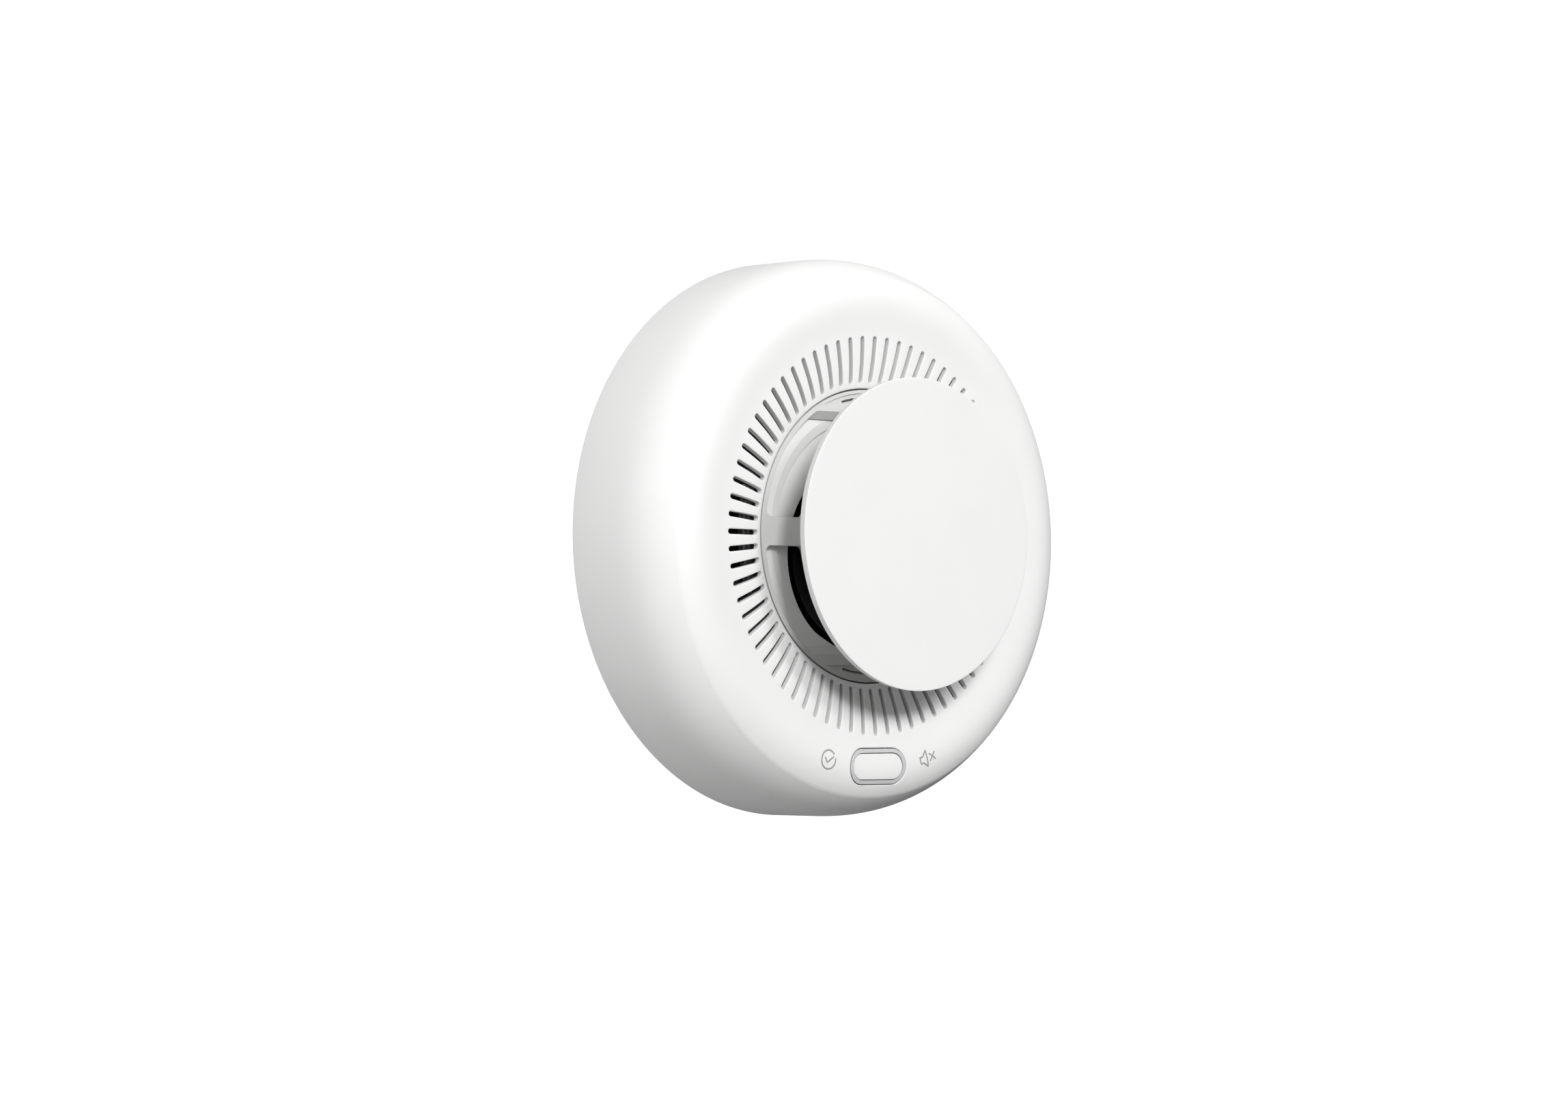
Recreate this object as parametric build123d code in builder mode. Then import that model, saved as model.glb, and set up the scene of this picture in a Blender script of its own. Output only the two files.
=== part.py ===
"""Round wall alarm for carbon monoxide and smoke, on a twist-lock bracket. Millimetres.

Z is up. Y runs into the wall: the wall is at y = 0 and the front faces -Y.
Distances called *_d are measured from the wall towards the room, so y = -d.
"""
from build123d import *
from math import cos, radians, sin
import os

os.makedirs("parts", exist_ok=True)

# Clearances
snug = 0.05          # running fit of a plunger or a screw in its hole
seat_gap = 0.15      # moulded parts that drop into each other
free_gap = 0.3       # between parts that turn or slide past each other

# Housing
body_r = 52.5
wall = 2.0
housing_back_d = 3.0
back_edge_round = 0.6
crease_d = 27.7      # sharp edge between the side wall and the front ring
side_inset = 3.7     # how far the crease stands inside the side wall
side_height = 14.0   # height of the curved upper part of the side wall
side_mid_in = 0.87
side_mid_below = 5.7
crease_lean = 35     # degrees between the side wall and the axis at the crease
crest_inset = 9.0    # how far the crest of the front ring stands inside the side wall
crest_rise = 1.88    # crest of the front ring above the crease
hole_r = 27.6
hole_drop = 2.56     # hole edge below the crest
hole_slope = 19      # degrees, dish of the front ring at the hole
slot_count = 72
slot_width = 1.0
slot_inner_r = 28.6
slot_outer_r = 37.3
slot_drop = 0.66     # surface below the crest at the slots' outer ends

# Rear cover and the screws that hold it
rear_recess = 2.0    # rear cover inside the housing's back edge
rear_t = 2.0
skirt_h = 3.6
skirt_t = 1.3
case_screw_inset = 6.7
case_screw_angles = (46, 134, 215, 325)
boss_r = 2.8
screw_r = 1.1
screw_head_r = 2.3
screw_head_h = 1.2
screw_head_sink = 1.2
screw_grip = 7.0     # thread length in the boss
recess_w = 0.6       # cross recess in a screw head
recess_l = 2.8
recess_h = 0.8

# Mounting bracket
bracket_r = 46.0
bracket_hole_r = 34.0
bracket_t = 2.0
bearing_t = 1.4
hook_angles = (45, 165, 285)
hook_half_angle = 6
hook_r = 41.6
hook_t = 1.6
lip_reach = 2.0
lip_t = 1.5
unlock_turn = 15
hook_side_angle = 0.5
fixing_r = 39.0
fixing_hole_r = 2.25
fixing_slot = 8.0

# Circuit board
board_lift = 2.4
board_t = 1.6
board_inset = 4.9
board_screw_r = 43.0
board_screw_angles = (12, 192, 235, 305)
standoff_r = 3.0
board_head_h = 1.5
board_head_r = 2.4

# Inlet under the cap
frame_t = 2.9
frame_flange_over = 1.3     # flange beyond the housing's hole
frame_web_t = 1.8    # ribs, hub and lands, inside the thicker rim
window_inset = 1.2   # windows inside the housing's hole
window_land = 3.85   # widest part of the lands above and below the windows
window_rise = 0.4    # windows and ribs above the middle of the ring
window_corner = 1.2
window_bevel = 1.5
rib_w = 5.3
hub_inset = 10.2     # hub inside the windows' outer edge
column_inset = 2.7   # column inside the hub
column_wall = 1.5
column_seat = 0.8    # column let into the hub
land_recess_over = 1.65     # recess beyond the windows' straight edge
land_recess_rim = 0.3
land_recess_depth = 0.25
land_slit_inset = 0.7
land_slit_w = 0.45
land_slit_angle = 15
cap_r = 29.0
cap_t = 1.42
cap_rise = 12.6      # front of the cap above the crease
cap_edge = 0.12
peg_r = 1.4
peg_l = 3.0
peg_inset = 5.5
peg_count = 3

# Smoke chamber, below the middle of the housing to leave room for the battery
chamber_z = -3.8
guide_over = 1.8     # guide beyond the housing's hole
guide_rim_h = 1.0    # raised rim inside the inlet frame's own rim
guide_rim_w = 3.1
guide_slope_w = 1.9
guide_step_drop = 0.5
guide_floor_drop = 0.08
guide_t = 1.2
guide_hole_r = 18.0
guide_leg_r = 1.0
guide_leg_inset = 1.2
guide_leg_angles = (35, 145, 240, 300)
chamber_r = 15.9
chamber_top_drop = 0.5
chamber_lid_t = 1.2
chamber_base_t = 2.0
chamber_lip = 0.7
vane_count = 24
vane_l = 4.6
vane_t = 0.8
vane_inset = 2.7
vane_lean = 48
screen_t = 0.35
screen_post_count = 48
screen_post_angle = 2.2
screen_band = 0.8
optic_r = 1.5
optic_l = 5.0
optic_lift = 3.0
optic_inset = 11.3
led_angle = 205
diode_angle = 335
holder_w = 5.2
holder_h = 5.2
optic_lead_r = 0.25

# Carbon monoxide cell
cell_x, cell_z = -31.0, -14.0
cell_r = 7.0
cell_h = 8.6
cell_lift = 1.0
cell_cap_r = 7.2
cell_cap_h = 1.0
cell_port_r = 1.2
cell_pin_r = 0.5
cell_pin_circle_r = 4.6

# Sounder
sounder_x, sounder_z = 33.0, -8.0
sounder_r = 12.0
sounder_h = 7.5
sounder_wall = 1.2
sounder_port_r = 3.0
ledge_w = 1.3
disc_t = 0.4
disc_lift = 3.5
sounder_pin_r = 0.5
sounder_pin_circle_r = 6.5

# Battery, a lithium cell of the 17 by 34.5 size, lying across the top
battery_z = 36.0
battery_r = 8.5
battery_l = 33.5
battery_nub_r = 3.0
battery_nub_l = 1.0
battery_lift = 0.1
battery_bay = 1.8
cradle_x = 11.0
cradle_t = 1.6
cradle_h = 4.6
cradle_over = 2.2
tab_t = 0.3
tab_w = 5.0
tab_foot = 3.2

# Button, its light ring and its switch
button_r = 43.0
opening_w, opening_h = 14.6, 6.9
button_w, button_h = 12.6, 4.8
ring_wall = 0.8
ring_flange_w, ring_flange_h = 17.0, 8.6
ring_flange_t = 1.0
collar_h = 2.0
leg_x = 7.6
leg_w = 1.2
leg_h = 2.0
button_sink = 0.15
button_flange_h = 7.2
button_flange_t = 0.8
button_travel = 0.5
stem_r = 1.6
switch_w = 6.0
switch_h = 3.5
plunger_r = 1.7
plunger_out = 2.5
plunger_in = 1.4
plunger_room = 0.8
led_w, led_l, led_h = 1.6, 3.2, 0.9

# Small parts on the board: place, size
mcu_x, mcu_z, mcu_w, mcu_h = -9.0, -33.0, 9.0, 1.2
capacitor_x, capacitor_z, capacitor_r, capacitor_h = -34.0, 7.0, 3.15, 7.7
inductor_x, inductor_z, inductor_r, inductor_h = 13.0, -34.0, 4.2, 6.0
inductor_groove = 1.3
inductor_flange = 1.2
shield_x, shield_z, shield_w, shield_l, shield_h, shield_t = 33.0, 19.0, 10.0, 8.0, 3.2, 0.4
chip_l, chip_w, chip_h = 2.0, 1.25, 0.6
chip_places = ((-20, -27), (-20, -30), (-20, -33), (3, -34), (3, -37), (20, -24), (23, -26),
               (-27, 20), (-30, 22), (-33, 24), (24, 22), (24, 25), (-40, 2))

# Levels and radii that follow
rear_back_d = housing_back_d + rear_recess
rear_front_d = rear_back_d + rear_t
rear_r = body_r - wall - seat_gap
crease_r = body_r - side_inset
crest_r = body_r - crest_inset
crest_d = crease_d + crest_rise
shoulder_d = crease_d - side_height
hole_d = crest_d - hole_drop
board_back_d = rear_front_d + board_lift
board_d = board_back_d + board_t
board_r = body_r - board_inset
case_screw_circle_r = body_r - case_screw_inset
boss_top_d = crease_d - 0.7
frame_r = hole_r - seat_gap - 0.1
frame_flange_r = hole_r + frame_flange_over
window_r = hole_r - window_inset
window_chord = window_r - window_land
hub_r = window_r - hub_inset
column_r = hub_r - column_inset
peg_circle_r = column_r - peg_inset
land_recess_chord = window_chord + land_recess_over
land_recess_r = window_r + land_recess_rim
land_slit_r = window_r - land_slit_inset
frame_d = hole_d
frame_back_d = frame_d - frame_t
frame_flange_t = frame_t - wall - seat_gap
frame_web_d = frame_d - frame_web_t
column_d = frame_d - column_seat
cap_front_d = crease_d + cap_rise
cap_back_d = cap_front_d - cap_t
guide_r = hole_r + guide_over
guide_rim_r = window_r - guide_rim_w
guide_step_r = guide_rim_r - guide_slope_w
guide_leg_circle_r = guide_r - guide_leg_inset
guide_rim_d = frame_back_d + guide_rim_h
guide_floor_d = frame_back_d - guide_floor_drop
guide_back_d = guide_floor_d - guide_t
chamber_top_d = guide_floor_d - chamber_top_drop
chamber_floor_d = board_d + chamber_base_t
vane_circle_r = chamber_r - vane_inset
optic_start_r = chamber_r - optic_inset
battery_d = rear_front_d + battery_lift + battery_r
bay_half = (battery_l + battery_nub_l) / 2 + tab_t + battery_bay
bay_z = battery_z - battery_r - cradle_over - seat_gap
lip_d = rear_front_d + free_gap
hook_in_r = hook_r - hook_t
lip_in_r = hook_in_r - lip_reach
ring_back_d = crest_d - wall - collar_h - ring_flange_t
button_flange_d = ring_back_d - snug
plunger_d = board_d + switch_h + plunger_out
stem_end_d = plunger_d + snug
envelope_h = 3.0

# Planes: face-on at a distance from the wall, across the housing at an x, and the turned profile
def at(distance):
    """Face-on plane, x to the right and z up as seen from the room."""
    return Plane.XZ.offset(distance)


def across(x):
    """Plane square to X, with z and the distance from the wall as its two directions."""
    return Plane(origin=(x, 0, 0), x_dir=(0, 0, 1), z_dir=(1, 0, 0))


def turned(x=0, z=0):
    """Plane of a turned profile about an axis at x, z: radius and distance from the wall."""
    return Plane(origin=(x, 0, z), x_dir=(1, 0, 0), z_dir=(0, 0, -1))


def axis_at(x, z):
    """The line into the wall through x, z."""
    return Axis((x, 0, z), (0, 1, 0))


def polar(radius, degrees):
    """The face-on point at a radius and an angle."""
    return (radius * cos(radians(degrees)), radius * sin(radians(degrees)))


def ring_piece(inner, outer, start, stop):
    """Face of a ring between two radii and two angles in degrees."""
    with BuildSketch() as piece:
        with BuildLine():
            near = CenterArc((0, 0), inner, start, stop - start)
            far = CenterArc((0, 0), outer, start, stop - start)
            Line(near @ 0, far @ 0)
            Line(near @ 1, far @ 1)
        make_face()
    return piece.sketch


def save(piece, name):
    """Label a finished piece and write its STEP file."""
    piece.part.label = name
    export_step(piece.part, "parts/" + name + ".step")


case_screw_places = [polar(case_screw_circle_r, a) for a in case_screw_angles]
board_screw_places = [polar(board_screw_r, a) for a in board_screw_angles]
button_place = (0, -button_r)

# Everything under the front ring's outer surface, for pieces that finish flush with it
with BuildPart() as under_surface:
    with BuildSketch(turned()):
        with BuildLine():
            TangentArc((crest_r, crest_d), (crease_r, crease_d), tangent=(1, 0))
            Line((crease_r, crease_d), (crease_r, envelope_h))
            Line((crease_r, envelope_h), (hole_r, envelope_h))
            Line((hole_r, envelope_h), (hole_r, hole_d))
            Spline((hole_r, hole_d), (slot_outer_r, crest_d - slot_drop), (crest_r, crest_d),
                   tangents=((cos(radians(hole_slope)), sin(radians(hole_slope))), (1, 0)))
        make_face()
    revolve(axis=Axis.Y)

# Front cover: side wall, crease, dished ring with the vent slots, and the screw bosses
with BuildPart() as front_cover:
    with BuildSketch(turned()):
        with BuildLine():
            Line((body_r - wall, housing_back_d), (body_r - back_edge_round, housing_back_d))
            TangentArc((body_r - back_edge_round, housing_back_d),
                       (body_r, housing_back_d + back_edge_round), tangent=(1, 0))
            Line((body_r, housing_back_d + back_edge_round), (body_r, shoulder_d))
            Spline((body_r, shoulder_d), (body_r - side_mid_in, crease_d - side_mid_below),
                   (crease_r, crease_d),
                   tangents=((0, 1), (-sin(radians(crease_lean)), cos(radians(crease_lean)))))
            TangentArc((crest_r, crest_d), (crease_r, crease_d), tangent=(1, 0))
            Spline((crest_r, crest_d), (slot_outer_r, crest_d - slot_drop), (hole_r, hole_d),
                   tangents=((-1, 0), (-cos(radians(hole_slope)), -sin(radians(hole_slope)))))
            Line((hole_r, hole_d), (hole_r, hole_d - wall))
            Spline((hole_r, hole_d - wall), (slot_outer_r, crest_d - slot_drop - wall),
                   (crest_r, crest_d - wall),
                   tangents=((cos(radians(hole_slope)), sin(radians(hole_slope))), (1, 0)))
            Spline((crest_r, crest_d - wall), (crease_r - 0.75 * wall, crease_d - 0.75 * wall),
                   (body_r - wall, shoulder_d), tangents=((1, 0), (0, -1)))
            Line((body_r - wall, shoulder_d), (body_r - wall, housing_back_d))
        make_face()
    revolve(axis=Axis.Y)
    with BuildSketch(at(crest_d - wall - collar_h)):
        with Locations(button_place):
            SlotOverall(ring_flange_w, ring_flange_h)
    extrude(amount=collar_h + wall / 2)
    with BuildSketch(at(rear_front_d)):
        with Locations(*case_screw_places):
            Circle(boss_r)
    extrude(amount=boss_top_d - rear_front_d)
    with BuildSketch(at(hole_d - 2 * wall)):
        with PolarLocations((slot_inner_r + slot_outer_r) / 2, slot_count):
            SlotOverall(slot_outer_r - slot_inner_r, slot_width)
        with Locations(button_place):
            SlotOverall(opening_w, opening_h)
    extrude(amount=crest_d - hole_d + 3 * wall, mode=Mode.SUBTRACT)
    with BuildSketch(at(rear_front_d)):
        with Locations(*case_screw_places):
            Circle(screw_r + snug)
    extrude(amount=screw_grip + free_gap, mode=Mode.SUBTRACT)
save(front_cover, "front_cover")

# Rear cover: plate with a skirt, board standoffs, battery cradle and the bayonet slots
with BuildPart() as rear_cover:
    with BuildSketch(at(rear_back_d)):
        Circle(rear_r)
    extrude(amount=rear_t)
    with BuildSketch(at(rear_front_d)):
        Circle(rear_r)
        Circle(rear_r - skirt_t, mode=Mode.SUBTRACT)
        with Locations(*case_screw_places):
            Circle(boss_r + seat_gap, mode=Mode.SUBTRACT)
    extrude(amount=skirt_h)
    with BuildSketch(at(rear_front_d)):
        with Locations(*board_screw_places):
            Circle(standoff_r)
    extrude(amount=board_lift)
    for x in (-cradle_x, cradle_x):
        with BuildSketch(across(x - cradle_t / 2)):
            with Locations((battery_z, rear_front_d + cradle_h / 2)):
                Rectangle(2 * (battery_r + cradle_over), cradle_h)
            with Locations((battery_z, battery_d)):
                Circle(battery_r + battery_lift, mode=Mode.SUBTRACT)
        extrude(amount=cradle_t)
    with BuildSketch(at(rear_back_d)):
        for angle in hook_angles:
            add(ring_piece(hook_in_r - free_gap, hook_r + free_gap,
                           angle - unlock_turn, angle + hook_half_angle + hook_side_angle))
            add(ring_piece(lip_in_r - free_gap, hook_r + free_gap,
                           angle - unlock_turn - hook_half_angle - hook_side_angle,
                           angle - unlock_turn + hook_half_angle + hook_side_angle))
    extrude(amount=rear_t, mode=Mode.SUBTRACT)
    with BuildSketch(at(rear_back_d)):
        with Locations(*case_screw_places):
            Circle(screw_head_r + seat_gap)
    extrude(amount=screw_head_sink, mode=Mode.SUBTRACT)
    with BuildSketch(at(rear_back_d)):
        with Locations(*case_screw_places):
            Circle(screw_r + seat_gap)
    extrude(amount=rear_t, mode=Mode.SUBTRACT)
    with BuildSketch(at(rear_back_d + rear_t / 2)):
        with Locations(*board_screw_places):
            Circle(screw_r + snug)
    extrude(amount=rear_t / 2 + board_lift, mode=Mode.SUBTRACT)
save(rear_cover, "rear_cover")

# Mounting bracket: ring with a bearing rim, three hooks and four fixing holes
with BuildPart() as mounting_bracket:
    with BuildSketch(at(0)):
        Circle(bracket_r)
        Circle(bracket_hole_r, mode=Mode.SUBTRACT)
        for angle in hook_angles:
            add(ring_piece(lip_in_r, hook_in_r, angle - hook_half_angle, angle + hook_half_angle),
                mode=Mode.SUBTRACT)
        with Locations((-fixing_r, 0), (fixing_r, 0)):
            SlotOverall(fixing_slot, 2 * fixing_hole_r, mode=Mode.SUBTRACT)
        with Locations((0, -fixing_r), (0, fixing_r)):
            Circle(fixing_hole_r, mode=Mode.SUBTRACT)
    extrude(amount=bracket_t)
    with BuildSketch(at(bracket_t)):
        Circle(bracket_r)
        Circle(bracket_r - bearing_t, mode=Mode.SUBTRACT)
    extrude(amount=rear_back_d - free_gap - bracket_t)
    with BuildSketch(at(bracket_t)):
        for angle in hook_angles:
            add(ring_piece(hook_in_r, hook_r, angle - hook_half_angle, angle + hook_half_angle))
    extrude(amount=lip_d + lip_t - bracket_t)
    with BuildSketch(at(lip_d)):
        for angle in hook_angles:
            add(ring_piece(lip_in_r, hook_r, angle - hook_half_angle, angle + hook_half_angle))
    extrude(amount=lip_t)
save(mounting_bracket, "mounting_bracket")

# Inlet frame: ring in the housing's hole with four windows round a hub
with BuildSketch() as windows:
    Circle(window_r)
    with Locations((0, window_rise)):
        Rectangle(2 * window_r, 2 * (window_chord - window_bevel), mode=Mode.INTERSECT)
    Circle(hub_r, mode=Mode.SUBTRACT)
    with Locations((0, window_rise)):
        Rectangle(2 * window_r, rib_w, mode=Mode.SUBTRACT)
    Rectangle(rib_w, 2 * window_r, mode=Mode.SUBTRACT)
    fillet(windows.vertices(), window_corner)
with BuildPart() as bevels:
    for side in (-1, 1):
        low_z = window_rise + side * (window_chord - window_bevel)
        with BuildSketch(across(-window_r)):
            Polygon((low_z - side * window_bevel, frame_d), (window_rise + side * window_chord, frame_d),
                    (low_z, frame_d - window_bevel), (low_z - side * window_bevel, frame_d - window_bevel),
                    align=None)
        extrude(amount=2 * window_r)
    with BuildSketch(at(frame_back_d)):
        Circle(window_r)
        Circle(hub_r, mode=Mode.SUBTRACT)
        Rectangle(rib_w, 2 * window_r, mode=Mode.SUBTRACT)
    extrude(amount=frame_t, mode=Mode.INTERSECT)
with BuildPart() as inlet_frame:
    with BuildSketch(at(frame_back_d)):
        Circle(frame_r)
    extrude(amount=frame_t)
    with BuildSketch(at(frame_back_d)):
        Circle(frame_flange_r)
    extrude(amount=frame_flange_t)
    with BuildSketch(at(frame_back_d)):
        Circle(window_r)
    extrude(amount=frame_web_d - frame_back_d, mode=Mode.SUBTRACT)
    with BuildSketch(at(frame_back_d)):
        add(windows.sketch)
    extrude(amount=frame_t, mode=Mode.SUBTRACT)
    add(bevels.part, mode=Mode.SUBTRACT)
    with BuildSketch(at(frame_d)):
        for side in (-1, 1):
            with Locations((0, side * (land_recess_chord + frame_r / 2))):
                Rectangle(2 * frame_r, frame_r)
        Circle(land_recess_r, mode=Mode.INTERSECT)
    extrude(amount=-land_recess_depth, mode=Mode.SUBTRACT)
    with BuildSketch(at(frame_back_d)):
        for middle in (90, 270):
            add(ring_piece(land_slit_r - land_slit_w / 2, land_slit_r + land_slit_w / 2,
                           middle - land_slit_angle, middle + land_slit_angle))
    extrude(amount=frame_t, mode=Mode.SUBTRACT)
    with BuildSketch(at(column_d)):
        Circle(column_r + snug)
    extrude(amount=column_seat, mode=Mode.SUBTRACT)
save(inlet_frame, "inlet_frame")

# Column that carries the cap, a cup let into the hub with its closed end to the front
with BuildPart() as cap_column:
    with BuildSketch(at(column_d)):
        Circle(column_r)
    extrude(amount=cap_back_d - column_d)
    with BuildSketch(at(column_d)):
        Circle(column_r - column_wall)
    extrude(amount=cap_back_d - column_d - column_wall, mode=Mode.SUBTRACT)
    with BuildSketch(at(cap_back_d)):
        with PolarLocations(peg_circle_r, peg_count, start_angle=90):
            Circle(peg_r + snug)
    extrude(amount=-column_wall, mode=Mode.SUBTRACT)
save(cap_column, "cap_column")

# Cap: thin flat disc held out in front of the inlet on pegs
with BuildPart() as inlet_cap:
    with BuildSketch(at(cap_back_d)):
        Circle(cap_r)
    extrude(amount=cap_t)
    chamfer(inlet_cap.edges().filter_by(GeomType.CIRCLE), cap_edge)
    with BuildSketch(at(cap_back_d)):
        with PolarLocations(peg_circle_r, peg_count, start_angle=90):
            Circle(peg_r)
    extrude(amount=-peg_l)
save(inlet_cap, "inlet_cap")

# Smoke guide: stepped dish with an off-centre hole over the chamber, on four legs
with BuildPart() as smoke_guide:
    with BuildSketch(turned()):
        with BuildLine():
            Polyline((guide_r, guide_back_d), (guide_r, frame_back_d),
                     (window_r - seat_gap, frame_back_d), (window_r - seat_gap, guide_rim_d),
                     (guide_rim_r, guide_rim_d), (guide_step_r, guide_rim_d - guide_step_drop),
                     (guide_step_r, guide_floor_d), (0, guide_floor_d), (0, guide_back_d),
                     (guide_r, guide_back_d))
        make_face()
    revolve(axis=Axis.Y)
    with BuildSketch(at(board_d)):
        with Locations(*[polar(guide_leg_circle_r, a) for a in guide_leg_angles]):
            Circle(guide_leg_r)
    extrude(amount=guide_back_d - board_d)
    with BuildSketch(at(guide_back_d)):
        with Locations((0, chamber_z)):
            Circle(guide_hole_r)
    extrude(amount=frame_t, mode=Mode.SUBTRACT)
save(smoke_guide, "smoke_guide")

# Chamber base with the two optic holders
with BuildPart() as chamber_base:
    with BuildSketch(at(board_d)):
        with Locations((0, chamber_z)):
            Circle(chamber_r + screen_t + chamber_lip)
    extrude(amount=chamber_base_t)
    for angle in (led_angle, diode_angle):
        direction = polar(1, angle)
        optic_plane = Plane(origin=(0, -chamber_floor_d, chamber_z),
                            x_dir=(-direction[1], 0, direction[0]),
                            z_dir=(direction[0], 0, direction[1]))
        with BuildSketch(optic_plane.offset(optic_start_r)):
            with Locations((0, holder_h / 2)):
                Rectangle(holder_w, holder_h)
        extrude(amount=optic_l)
        with BuildSketch(optic_plane.offset(optic_start_r - optic_l)):
            with Locations((0, optic_lift)):
                Circle(optic_r + snug)
        extrude(amount=2 * optic_l, mode=Mode.SUBTRACT)
    with BuildSketch(at(board_d)):
        for angle in (led_angle, diode_angle):
            middle = polar(optic_start_r + optic_l - 1, angle)
            with Locations((middle[0], middle[1] + chamber_z)):
                Circle(4 * optic_lead_r)
    extrude(amount=chamber_base_t + optic_lift, mode=Mode.SUBTRACT)
save(chamber_base, "chamber_base")

# Emitter and receiver of the smoke chamber, each with its two leads down to the board
for name, angle in (("ir_emitter", led_angle), ("photodiode", diode_angle)):
    direction = polar(1, angle)
    optic_plane = Plane(origin=(0, -chamber_floor_d, chamber_z),
                        x_dir=(-direction[1], 0, direction[0]),
                        z_dir=(direction[0], 0, direction[1]))
    middle = polar(optic_start_r + optic_l - 1, angle)
    with BuildPart() as optic:
        with BuildSketch(optic_plane.offset(optic_start_r)):
            with Locations((0, optic_lift)):
                Circle(optic_r)
        extrude(amount=optic_l)
        with BuildSketch(at(board_d)):
            with Locations((middle[0], middle[1] + chamber_z)):
                with Locations((2 * optic_lead_r, 0), (-2 * optic_lead_r, 0)):
                    Circle(optic_lead_r)
        extrude(amount=chamber_base_t + optic_lift)
    save(optic, name)

# Chamber cover: lid with a ring of leaning light-trap vanes
with BuildPart() as chamber_cover:
    with BuildSketch(at(chamber_top_d - chamber_lid_t)):
        with Locations((0, chamber_z)):
            Circle(chamber_r)
    extrude(amount=chamber_lid_t)
    with BuildSketch(at(chamber_floor_d)):
        with Locations((0, chamber_z)):
            with PolarLocations(vane_circle_r, vane_count):
                Rectangle(vane_l, vane_t, rotation=vane_lean)
    extrude(amount=chamber_top_d - chamber_lid_t - chamber_floor_d)
save(chamber_cover, "chamber_cover")

# Insect screen: thin metal band of upright bars around the vanes
with BuildPart() as insect_screen:
    with BuildSketch(at(chamber_floor_d)):
        with Locations((0, chamber_z)):
            for index in range(screen_post_count):
                start = index * 360 / screen_post_count
                add(ring_piece(chamber_r, chamber_r + screen_t, start, start + screen_post_angle))
    extrude(amount=chamber_top_d - chamber_floor_d)
    for level in (chamber_floor_d, (chamber_floor_d + chamber_top_d - screen_band) / 2,
                  chamber_top_d - screen_band):
        with BuildSketch(at(level)):
            with Locations((0, chamber_z)):
                Circle(chamber_r + screen_t)
                Circle(chamber_r, mode=Mode.SUBTRACT)
        extrude(amount=screen_band)
save(insect_screen, "insect_screen")

# Circuit board
with BuildPart() as circuit_board:
    with BuildSketch(at(board_back_d)):
        Circle(board_r)
        with Locations((0, bay_z + board_r / 2)):
            Rectangle(2 * bay_half, board_r, mode=Mode.SUBTRACT)
        with Locations(*case_screw_places):
            Circle(boss_r + free_gap, mode=Mode.SUBTRACT)
        with Locations(*board_screw_places):
            Circle(screw_r + free_gap, mode=Mode.SUBTRACT)
        with Locations((cell_x, cell_z)):
            with PolarLocations(cell_pin_circle_r, 3):
                Circle(cell_pin_r + snug, mode=Mode.SUBTRACT)
    extrude(amount=board_t)
save(circuit_board, "circuit_board")

# Carbon monoxide cell: can, cap with the gas port, and its three pins
with BuildPart() as co_cell:
    with BuildSketch(at(board_d + cell_lift)):
        with Locations((cell_x, cell_z)):
            Circle(cell_r)
    extrude(amount=cell_h)
save(co_cell, "co_cell")
with BuildPart() as co_cell_cap:
    with BuildSketch(at(board_d + cell_lift + cell_h)):
        with Locations((cell_x, cell_z)):
            Circle(cell_cap_r)
            Circle(cell_port_r, mode=Mode.SUBTRACT)
    extrude(amount=cell_cap_h)
save(co_cell_cap, "co_cell_cap")
with BuildPart() as co_cell_pins:
    with BuildSketch(at(board_back_d)):
        with Locations((cell_x, cell_z)):
            with PolarLocations(cell_pin_circle_r, 3):
                Circle(cell_pin_r)
    extrude(amount=board_t + cell_lift)
save(co_cell_pins, "co_cell_pins")

# Sounder: resonator housing, brass disc on its ledge, and three contact pins
with BuildPart() as sounder_housing:
    with BuildSketch(turned(sounder_x, sounder_z)):
        with BuildLine():
            ledge_d = board_d + disc_lift + disc_t
            inner_r = sounder_r - sounder_wall
            top_d = board_d + sounder_h
            Polyline((inner_r, board_d), (sounder_r, board_d), (sounder_r, top_d),
                     (sounder_port_r, top_d), (sounder_port_r, top_d - sounder_wall),
                     (inner_r, top_d - sounder_wall), (inner_r, ledge_d + ledge_w),
                     (inner_r - ledge_w, ledge_d + ledge_w), (inner_r - ledge_w, ledge_d),
                     (inner_r, ledge_d), close=True)
        make_face()
    revolve(axis=axis_at(sounder_x, sounder_z))
save(sounder_housing, "sounder_housing")
with BuildPart() as sounder_disc:
    with BuildSketch(at(board_d + disc_lift)):
        with Locations((sounder_x, sounder_z)):
            Circle(sounder_r - sounder_wall - snug)
    extrude(amount=disc_t)
save(sounder_disc, "sounder_disc")
with BuildPart() as sounder_pins:
    with BuildSketch(at(board_d)):
        with Locations((sounder_x, sounder_z)):
            with PolarLocations(sounder_pin_circle_r, 3):
                Circle(sounder_pin_r)
    extrude(amount=disc_lift)
save(sounder_pins, "sounder_pins")

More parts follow.
